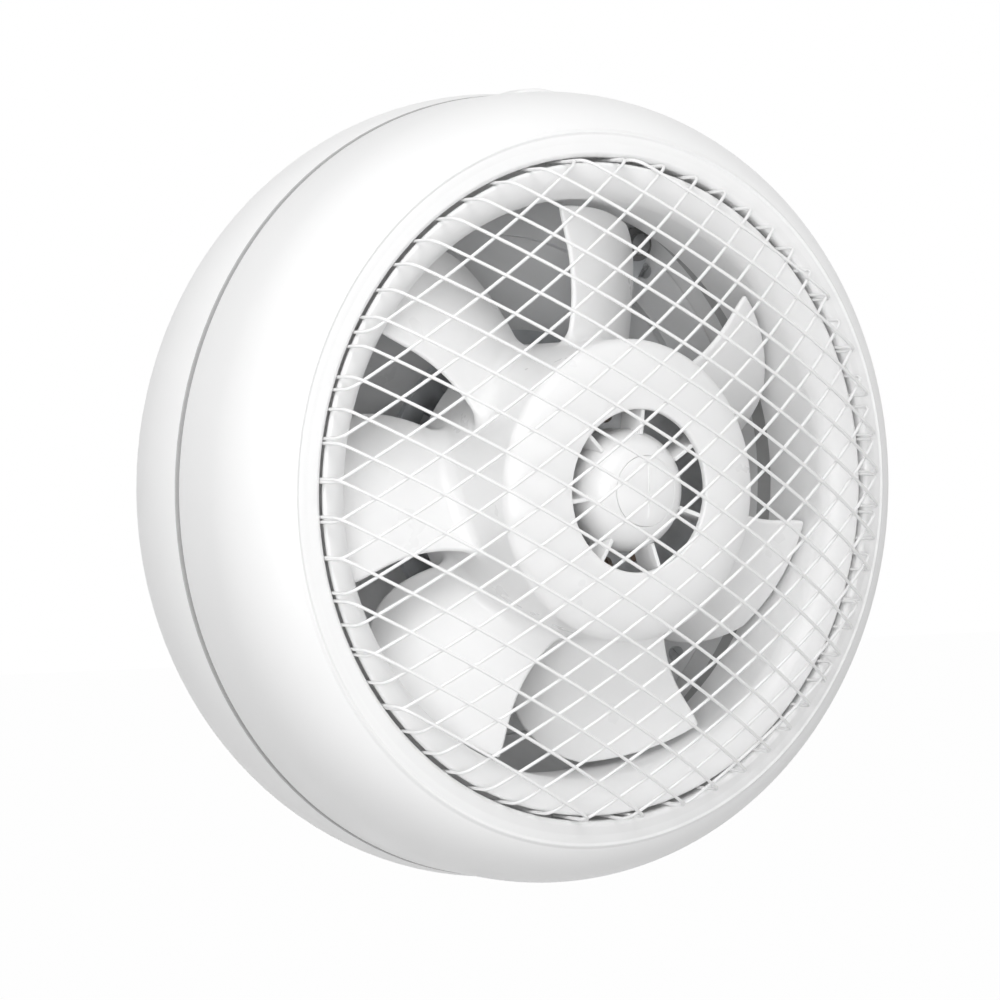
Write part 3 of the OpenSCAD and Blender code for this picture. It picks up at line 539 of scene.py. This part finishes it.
# %% The blade's middle sheet
SHEET_ROUNDS = 14


def sheet_at(x, y):
    """The point of the blade's middle sheet over a plan point, and its normal there."""
    across = y
    for _ in range(SHEET_ROUNDS):
        crown = sqrt(CAMBER_R ** 2 - across ** 2) - CAMBER_SINK
        across = (y + crown * sin(BLADE_PITCH)) / cos(BLADE_PITCH)
    up = across * sin(BLADE_PITCH) + crown * cos(BLADE_PITCH)
    along = (x - up * sin(BLADE_RAKE)) / cos(BLADE_RAKE)
    height = BLADE_MID_H + up * cos(BLADE_RAKE) - along * sin(BLADE_RAKE)
    normal = set_of_blade @ Vector((0, across, crown + CAMBER_SINK)) / CAMBER_R
    return Vector((x, y, height)), normal


def hub_radius(height):
    """Radius of the hub's slightly conical outside at a height."""
    return HUB_R - HUB_TAPER * (cup_h - height) / (cup_h - HUB_BACK_H)


print("the sheet's middle lies", round(sheet_at(EDGE_ZERO, 0)[0].z, 1), "mm above the wall")

# %% Rows and loops of the blade's skin
FILLET = 5.0
FILLET_ROWS = 12
ROOT_SINK = 0.8
BODY_ROWS = 30
TIP_SOFT = 0.7
TIP_ROWS = 4
ROW_CROWDING = 1.15
FACE_PLACES = 24
END_PLACES = 6
SIDE_TURN = 0.01


def blade_rows():
    """Each row's distance from the hub, and how much its loop is thicker than the blade."""
    turns = [pi / 2 * (1 - i / FILLET_ROWS) for i in range(FILLET_ROWS + 1)]
    rows = [(-ROOT_SINK, FILLET)] + [(FILLET * (1 - sin(a)), FILLET * (1 - cos(a))) for a in turns]
    reach = TIP_R - HUB_R
    last = reach - TIP_SOFT
    rows += [(FILLET + (last - FILLET) * (i / BODY_ROWS) ** ROW_CROWDING, 0)
             for i in range(1, BODY_ROWS + 1)]
    for i in range(1, TIP_ROWS + 1):
        a = pi / 2 * i / TIP_ROWS
        rows.append((last + TIP_SOFT * sin(a), -TIP_SOFT * (1 - cos(a))))
    return rows


def loop_places():
    """Round the loop: place on the chord, -1 to 1, and the turn from one face to the other."""
    chord = [sin(pi / 2 * (2 * i / FACE_PLACES - 1)) for i in range(FACE_PLACES + 1)]
    ends = [pi * i / END_PLACES for i in range(1, END_PLACES)]
    return ([(c, 0) for c in chord] + [(1, a) for a in ends]
            + [(c, pi) for c in reversed(chord)] + [(-1, pi + a) for a in ends])


def blade_point(gap, swell, place):
    """A point of the blade's skin, at a distance from the hub and a place on the loop."""
    column, turn = place
    radius = HUB_R - HUB_TAPER / 2 + gap
    thick = BLADE_T / 2 + swell
    low, high = edge_angle(radius, -1), edge_angle(radius, 1)
    half = (high - low) / 2 - BLADE_T / 2 / radius
    angle = (low + high) / 2 + column * half
    middle, normal = sheet_at(radius * cos(angle), radius * sin(angle))
    beside, _ = sheet_at(radius * cos(angle + SIDE_TURN), radius * sin(angle + SIDE_TURN))
    point = middle + thick * (normal * cos(turn) + (beside - middle).normalized() * sin(turn))
    share = gap / (TIP_R - HUB_R)
    reach = (hub_radius(point.z) + gap) * (1 - share) + (HUB_R + gap) * share
    shrink = reach / sqrt(point.x ** 2 + point.y ** 2)
    return room(point.x * shrink, point.y * shrink, point.z)


print(len(blade_rows()), "rows with", len(loop_places()), "places each")

# %% Shape one blade
blade = bmesh.new()
places = loop_places()
rows = blade_rows()
layers = [bmesh.ops.create_circle(blade, cap_ends=True, segments=len(places), radius=1)["verts"]]
for _ in rows[1:]:
    edges = [e for e in blade.edges if all(v in layers[-1] for v in e.verts)]
    raised = bmesh.ops.extrude_edge_only(blade, edges=edges)["geom"]
    fresh = [v for v in raised if isinstance(v, bmesh.types.BMVert)]
    bmesh.ops.translate(blade, verts=fresh, vec=(0, 0, 1))
    layers.append(fresh)
last_loop = [e for e in blade.edges if all(v in layers[-1] for v in e.verts)]
bmesh.ops.edgeloop_fill(blade, edges=last_loop)
for (gap, swell), layer in zip(rows, layers):
    for vert in layer:
        at = round(atan2(vert.co.y, vert.co.x) / (2 * pi) * len(places)) % len(places)
        vert.co.z = 0
        vert.co = blade_point(gap, swell, places[at])
bmesh.ops.recalc_face_normals(blade, faces=blade.faces)
blade_mesh = bpy.data.meshes.new("blade")
blade.to_mesh(blade_mesh)
blade.free()
print("one blade has", len(blade_mesh.polygons), "faces")

# %% Set seven blades on the hub
for i in range(BLADES):
    one = blade_mesh.copy()
    one.transform(Matrix.Rotation(-radians(FIRST_BLADE + i * 360 / BLADES), 4, "Y"))
    impeller.from_mesh(one)
    bpy.data.meshes.remove(one)
bpy.data.meshes.remove(blade_mesh)
piece_from(impeller, "impeller_moulding", "impeller_set", ["impeller"], "impeller_plastic")

# %% [markdown]
# Finishes
# Each finish is one procedural material on Object coordinates. Moulded plastic isn't flat:
# its gloss changes a little from place to place and a fine grain breaks up its highlights.
# Bare metals are darker in places and have a grain of their own. Values that are the same
# all over a surface sit on the shader itself.

# %% A finish and its patterns
def new_finish(name, colour, roughness, metallic=0.0):
    """A material with its shader, and Object coordinates for patterns."""
    material = bpy.data.materials.new(name)
    material.use_nodes = True
    nodes = material.node_tree.nodes
    shader = nodes["Principled BSDF"]
    shader.inputs["Base Color"].default_value = (*colour, 1)
    shader.inputs["Roughness"].default_value = roughness
    shader.inputs["Metallic"].default_value = metallic
    place = nodes.new("ShaderNodeTexCoord")
    return material, shader, place.outputs["Object"]


def noise(material, place, scale, detail=3):
    """A noise pattern whose spots are about one over the scale, in metres."""
    node = material.node_tree.nodes.new("ShaderNodeTexNoise")
    node.inputs["Scale"].default_value = scale
    node.inputs["Detail"].default_value = detail
    material.node_tree.links.new(place, node.inputs["Vector"])
    return node.outputs["Fac"]


def spread(material, value, low, high, start=0.3, end=0.7):
    """Maps a pattern's middle range, or the range that is given, to low and high."""
    node = material.node_tree.nodes.new("ShaderNodeMapRange")
    node.inputs["From Min"].default_value = start
    node.inputs["From Max"].default_value = end
    node.inputs["To Min"].default_value = low
    node.inputs["To Max"].default_value = high
    material.node_tree.links.new(value, node.inputs["Value"])
    return node.outputs["Result"]


def tint(material, shader, value, colour, other):
    """Lets a pattern carry the colour from one shade to another."""
    node = material.node_tree.nodes.new("ShaderNodeMix")
    node.data_type = "RGBA"
    node.inputs["A"].default_value = (*colour, 1)
    node.inputs["B"].default_value = (*other, 1)
    material.node_tree.links.new(value, node.inputs["Factor"])
    material.node_tree.links.new(node.outputs["Result"], shader.inputs["Base Color"])


def bump(material, shader, value, depth_mm):
    """Raises a pattern by a depth, in millimetres."""
    node = material.node_tree.nodes.new("ShaderNodeBump")
    node.inputs["Distance"].default_value = depth_mm * MM
    node.inputs["Strength"].default_value = 1.0
    material.node_tree.links.new(value, node.inputs["Height"])
    material.node_tree.links.new(node.outputs["Normal"], shader.inputs["Normal"])


print("helpers for finishes: new_finish, noise, spread, tint, bump")

# %% Moulded plastic
DRIFT_SCALE = 22
GLOSS_SCALE = 60


def moulded(name, colour, roughness, grain_scale=900, grain_mm=0.004, shade=0.985):
    """Injection moulded plastic: soft gloss, fine grain and a faint drift of colour."""
    material, shader, place = new_finish(name, colour, roughness)
    drift = noise(material, place, DRIFT_SCALE)
    tint(material, shader, spread(material, drift, 0, 1), colour, [c * shade for c in colour])
    gloss = noise(material, place, GLOSS_SCALE)
    material.node_tree.links.new(spread(material, gloss, roughness * 0.9, roughness * 1.12),
                                 shader.inputs["Roughness"])
    bump(material, shader, noise(material, place, grain_scale, 2), grain_mm)
    return material


print("moulded plastic drifts over about", round(1000 / DRIFT_SCALE), "mm")

# %% Bare metal
METAL_DRIFT_SCALE = 90
METAL_GLOSS_SCALE = 160
METAL_SHADE = 0.85


def metal(name, colour, roughness, grain_scale=400, grain_mm=0.004):
    """Bare metal with a grain, cloudy gloss and a little darkening."""
    material, shader, place = new_finish(name, colour, roughness, metallic=1.0)
    drift = noise(material, place, METAL_DRIFT_SCALE)
    tint(material, shader, spread(material, drift, 0, 1), colour,
         [c * METAL_SHADE for c in colour])
    gloss = noise(material, place, METAL_GLOSS_SCALE)
    material.node_tree.links.new(spread(material, gloss, roughness * 0.8, roughness * 1.25),
                                 shader.inputs["Roughness"])
    bump(material, shader, noise(material, place, grain_scale), grain_mm)
    return material


print("bare metal drifts over about", round(1000 / METAL_DRIFT_SCALE), "mm")

# %% [markdown]
# The seam
# Between the cover and the casing runs a narrow groove that light hardly reaches, so it reads
# as a grey line. That shade is painted: the casing's plastic is the cover's, but its colour is
# painted grey in the groove, by its distance from the axis and its height above the wall.

# %% Casing with painted shade in the seam
SEAM_FLOOR_H = 42.7
SEAM_SHADE_R = 144.5
SEAM_CLEAR_R = 144.9
SEAM_PAINTED_SHADE = (0.5, 0.5, 0.5)
CASING_WHITE = (0.93, 0.93, 0.93)
CASING_ROUGHNESS = 0.36


def maths(tree, operation, first, second):
    """A maths node on a socket and a number, or on two sockets."""
    node = tree.nodes.new("ShaderNodeMath")
    node.operation = operation
    tree.links.new(first, node.inputs[0])
    if isinstance(second, float):
        node.inputs[1].default_value = second
    else:
        tree.links.new(second, node.inputs[1])
    return node.outputs[0]


def casing_with_painted_seam_shade():
    """The casing's white plastic, with painted shade where it lies in the seam."""
    material = moulded("white_casing_with_painted_seam_shade", CASING_WHITE, CASING_ROUGHNESS)
    tree = material.node_tree
    shader = tree.nodes["Principled BSDF"]
    colour = shader.inputs["Base Color"].links[0].from_socket
    place = tree.nodes.new("ShaderNodeTexCoord").outputs["Object"]
    parts = tree.nodes.new("ShaderNodeSeparateXYZ")
    tree.links.new(place, parts.inputs[0])
    across = maths(tree, "MULTIPLY", parts.outputs["X"], parts.outputs["X"])
    upward = maths(tree, "MULTIPLY", parts.outputs["Z"], parts.outputs["Z"])
    radius = maths(tree, "POWER", maths(tree, "ADD", across, upward), 0.5)
    inside = spread(material, radius, 1, 0, SEAM_SHADE_R * MM, SEAM_CLEAR_R * MM)
    before = maths(tree, "LESS_THAN", parts.outputs["Y"], -SEAM_FLOOR_H * MM)
    # Painted shade: inside the groove the base colour is blended to grey, in place of the groove's
    # shadow.
    mix = tree.nodes.new("ShaderNodeMix")
    mix.data_type = "RGBA"
    mix.inputs["B"].default_value = (*SEAM_PAINTED_SHADE, 1)
    tree.links.new(maths(tree, "MULTIPLY", inside, before), mix.inputs["Factor"])
    tree.links.new(colour, mix.inputs["A"])
    tree.links.new(mix.outputs["Result"], shader.inputs["Base Color"])
    return material


print("the seam is shaded within", SEAM_SHADE_R, "mm of the axis")

# %% Paint every node by its material slot
finishes = {
    "white_plastic": moulded("white_casing", CASING_WHITE, CASING_ROUGHNESS),
    "impeller_plastic": moulded("white_impeller", (0.95, 0.95, 0.95), 0.30),
    "guard_coating": moulded("coated_wire", (0.93, 0.93, 0.93), 0.32, grain_scale=1500),
    "shutter_plastic": moulded("grey_shutter", (0.84, 0.845, 0.85), 0.3, shade=0.96),
    "shaft_steel": metal("ground_steel", (0.62, 0.63, 0.64), 0.22),
    "zinc_steel": metal("zinc_plate", (0.68, 0.69, 0.70), 0.34),
    "bearing_steel": metal("polished_steel", (0.60, 0.61, 0.62), 0.18),
    "core_steel": metal("lamination_stack", (0.40, 0.40, 0.41), 0.5),
    "winding_copper": metal("enamelled_copper", (0.36, 0.27, 0.22), 0.45),
    "shield_aluminium": metal("cast_aluminium", (0.78, 0.79, 0.80), 0.55, grain_scale=700,
                              grain_mm=0.03),
    "bracket_steel": metal("galvanised_plate", (0.70, 0.72, 0.74), 0.45),
    "black_rubber": moulded("grey_rubber", (0.2, 0.2, 0.2), 0.6, grain_mm=0.01),
    "grey_foam": moulded("foam_tape", (0.16, 0.16, 0.17), 0.9, grain_scale=1400, grain_mm=0.25,
                         shade=0.7),
    "terminal_plastic": moulded("terminal_plastic", (0.78, 0.78, 0.75), 0.42),
    "capacitor_shell": moulded("capacitor_shell", (0.80, 0.81, 0.82), 0.35),
}
for row in frame["record"]["subparts"]:
    node = frame["nodes"][row["node"]]
    node.data.materials.clear()
    node.data.materials.append(finishes[row["material_slot"]])
casing = frame["nodes"]["rear_casing"]
casing.data.materials.clear()
casing.data.materials.append(casing_with_painted_seam_shade())
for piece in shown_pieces():
    if "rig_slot" in piece:
        piece.data.materials.append(finishes[piece["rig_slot"]])

# %% [markdown]
# The studio's floor
# The picture has a pure white ground. A floor that is lit until it is white would also light
# the fan from below. So the floor is pale and keeps the fan's shadow, and only what the camera
# and glossy surfaces see of it is brightened.

# %% Floor
FLOOR_Z = -0.42
FLOOR_SIZE = 9.0
FLOOR_GREY = (0.6, 0.6, 0.6)
FLOOR_GLOW = 0.985


def seen_directly(tree):
    """1 where a camera, glossy or transmission ray looks, and 0 for a light's bounce."""
    rays = tree.nodes.new("ShaderNodeLightPath").outputs
    seen = maths(tree, "MAXIMUM", rays["Is Camera Ray"], rays["Is Glossy Ray"])
    return maths(tree, "MAXIMUM", seen, rays["Is Transmission Ray"])


ground = bmesh.new()
bmesh.ops.create_grid(ground, x_segments=1, y_segments=1, size=FLOOR_SIZE / 2,
                      matrix=Matrix.Translation((0, 0, FLOOR_Z)))
ground_mesh = bpy.data.meshes.new("floor")
ground.to_mesh(ground_mesh)
ground.free()
floor = bpy.data.objects.new("floor", ground_mesh)
bpy.context.scene.collection.objects.link(floor)

pale = bpy.data.materials.new("pale_floor")
pale.use_nodes = True
tree = pale.node_tree
tree.nodes.clear()
diffuse = tree.nodes.new("ShaderNodeBsdfDiffuse")
diffuse.inputs["Color"].default_value = (*FLOOR_GREY, 1)
glow = tree.nodes.new("ShaderNodeEmission")
glow.inputs["Strength"].default_value = 1.0
blend = tree.nodes.new("ShaderNodeMixShader")
tree.links.new(maths(tree, "MULTIPLY", seen_directly(tree), FLOOR_GLOW), blend.inputs["Fac"])
tree.links.new(diffuse.outputs[0], blend.inputs[1])
tree.links.new(glow.outputs[0], blend.inputs[2])
output = tree.nodes.new("ShaderNodeOutputMaterial")
tree.links.new(blend.outputs[0], output.inputs["Surface"])
ground_mesh.materials.append(pale)
print("the floor lies", round(-FLOOR_Z, 2), "m below the fan's axis")

# %% [markdown]
# The studio's world
# Looked at directly the world is pure white. As a light it is only half as strong, so that it
# softens the shadows on all sides and leaves the round forms to the lamps.

# %% World
WORLD_LIGHT = 0.5

world = bpy.data.worlds.new("studio")
bpy.context.scene.world = world
world.use_nodes = True
tree = world.node_tree
tree.nodes.clear()
white = tree.nodes.new("ShaderNodeBackground")
soft = tree.nodes.new("ShaderNodeBackground")
soft.inputs["Strength"].default_value = WORLD_LIGHT
blend = tree.nodes.new("ShaderNodeMixShader")
output = tree.nodes.new("ShaderNodeOutputWorld")
for shade in (white, soft):
    shade.inputs["Color"].default_value = (1, 1, 1, 1)
tree.links.new(seen_directly(tree), blend.inputs["Fac"])
tree.links.new(soft.outputs[0], blend.inputs[1])
tree.links.new(white.outputs[0], blend.inputs[2])
tree.links.new(blend.outputs[0], output.inputs["Surface"])
print("the world gives", WORLD_LIGHT, "of its white as light")

# %% [markdown]
# The lamps
# A large soft lamp stands high on the left and one in front, and a weak one fills the right.
# Square lamps of more than a metre give the plastic its broad, soft highlights.

# %% Lamps
LAMP_AIM = (0, -0.06, 0)
LAMPS = {
    "key_lamp": ((-1.3, -1.9, 1.9), 1.5, 33),
    "front_lamp": ((-1.9, -2.1, -0.2), 1.3, 37),
    "fill_lamp": ((1.5, -2.3, -0.9), 1.6, 8),
}


def lamp(name, place, size, power):
    """A square soft lamp that looks at the fan."""
    light = bpy.data.lights.new(name, "AREA")
    light.size = size
    light.energy = power
    one = bpy.data.objects.new(name, light)
    one.location = place
    aim = Vector(LAMP_AIM) - Vector(place)
    one.rotation_euler = aim.to_track_quat("-Z", "Y").to_euler()
    bpy.context.scene.collection.objects.link(one)


for name, (place, size, power) in LAMPS.items():
    lamp(name, place, size, power)
print("lamps:", ", ".join(LAMPS))
bpy.context.scene.view_settings.view_transform = "Standard"
